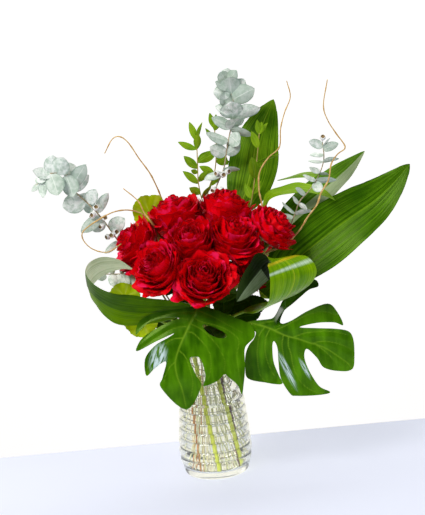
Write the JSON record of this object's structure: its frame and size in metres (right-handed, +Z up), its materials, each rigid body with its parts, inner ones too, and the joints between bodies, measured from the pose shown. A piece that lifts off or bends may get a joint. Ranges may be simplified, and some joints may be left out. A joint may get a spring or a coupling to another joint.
{
  "type": "vase of roses",
  "caption": "Clear ribbed glass vase holding a loose bouquet of red roses with folded and broad green leaves, silvery sprigs and thin bare twigs.",
  "frame": {"origin": "centre of the vase's foot, on the surface it stands on", "axes": "+Z up; -Y is the front, where the rose heads and the looped leaves face"},
  "size_m": [0.5626, 0.2502, 0.6077],
  "materials": {
    "vase_glass": "clear, ribbed",
    "rose_petals": "soft satin",
    "rose_stem": "satin",
    "green_leaf": "glossy",
    "bright_leaf": "glossy",
    "lime_leaf": "satin",
    "silver_leaf": "matt, waxy",
    "bark": "matt"
  },
  "bodies": {
    "root": {"arching_leaf_lower": "green_leaf", "arching_leaf_upper": "green_leaf", "aspidistra_broad": "green_leaf", "aspidistra_loop_left": "green_leaf", "aspidistra_loop_right": "green_leaf", "aspidistra_tall": "green_leaf", "aspidistra_upper": "green_leaf", "eucalyptus_left": "silver_leaf", "eucalyptus_low": "silver_leaf", "eucalyptus_right": "silver_leaf", "eucalyptus_top": "silver_leaf", "lime_leaf_lower": "lime_leaf", "lime_leaf_middle": "lime_leaf", "lime_leaf_upper": "lime_leaf", "monstera_left": "green_leaf", "monstera_right": "green_leaf", "rose_01_bloom": "rose_petals", "rose_01_stem": "rose_stem", "rose_02_bloom": "rose_petals", "rose_02_stem": "rose_stem", "rose_03_bloom": "rose_petals", "rose_03_stem": "rose_stem", "rose_04_bloom": "rose_petals", "rose_04_stem": "rose_stem", "rose_05_bloom": "rose_petals", "rose_05_stem": "rose_stem", "rose_06_bloom": "rose_petals", "rose_06_stem": "rose_stem", "rose_07_bloom": "rose_petals", "rose_07_stem": "rose_stem", "rose_08_bloom": "rose_petals", "rose_08_stem": "rose_stem", "rose_09_bloom": "rose_petals", "rose_09_stem": "rose_stem", "rose_10_bloom": "rose_petals", "rose_10_stem": "rose_stem", "rose_11_bloom": "rose_petals", "rose_11_stem": "rose_stem", "rose_12_bloom": "rose_petals", "rose_12_stem": "rose_stem", "ruscus_left": "bright_leaf", "ruscus_middle": "bright_leaf", "ruscus_right": "bright_leaf", "vase": "vase_glass", "willow_arch": "bark", "willow_fine": "bark", "willow_hook": "bark", "willow_tall": "bark", "willow_upright": "bark"}
  },
  "joints": []
}
